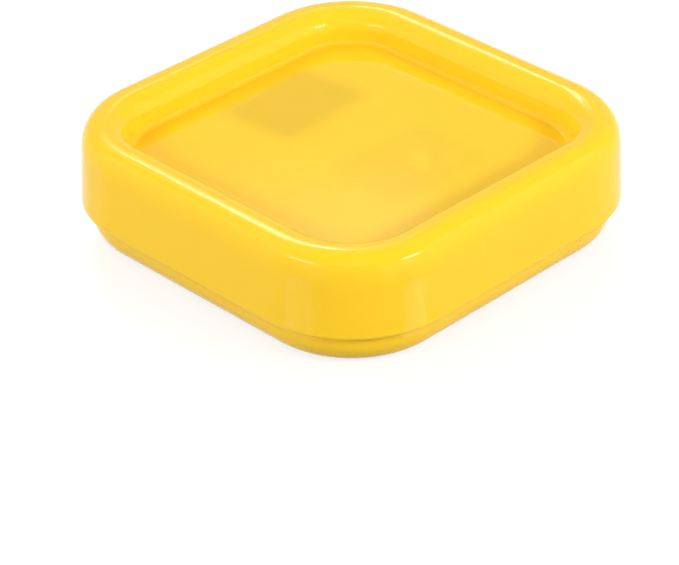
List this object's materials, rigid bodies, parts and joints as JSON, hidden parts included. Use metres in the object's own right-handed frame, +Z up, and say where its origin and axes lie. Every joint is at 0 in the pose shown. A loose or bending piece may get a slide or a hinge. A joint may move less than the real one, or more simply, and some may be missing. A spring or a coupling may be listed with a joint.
{
  "type": "magnetic pin bowl",
  "caption": "Square magnetic pin bowl: a glossy moulded tray with a bullnose rim and a shallow dish, snapped over a smaller rounded base, with magnets glued under the dish floor.",
  "frame": {"origin": "centre of the footprint, on the surface that the pads stand on", "axes": "+Z up, out of the dish; -Y to the front side and +X to the right side; the mouldings are the same on all four sides"},
  "size_m": [0.105, 0.105, 0.0286],
  "materials": {
    "tray_plastic": "glossy, slightly translucent moulded plastic, sunny yellow",
    "base_plastic": "glossy moulded plastic, the same yellow",
    "magnet_ferrite": "sintered ferrite, dark grey, fine matt grain",
    "hot_melt_glue": "milky hot-melt glue, waxy",
    "pad_rubber": "soft matt rubber, pale grey"
  },
  "bodies": {
    "root": {"tray_shell": "tray_plastic", "base_cover": "base_plastic", "magnet_left": "magnet_ferrite", "magnet_right": "magnet_ferrite", "magnet_glue_left": "hot_melt_glue", "magnet_glue_right": "hot_melt_glue", "foot_front_left": "pad_rubber", "foot_front_right": "pad_rubber", "foot_back_left": "pad_rubber", "foot_back_right": "pad_rubber"}
  },
  "joints": []
}
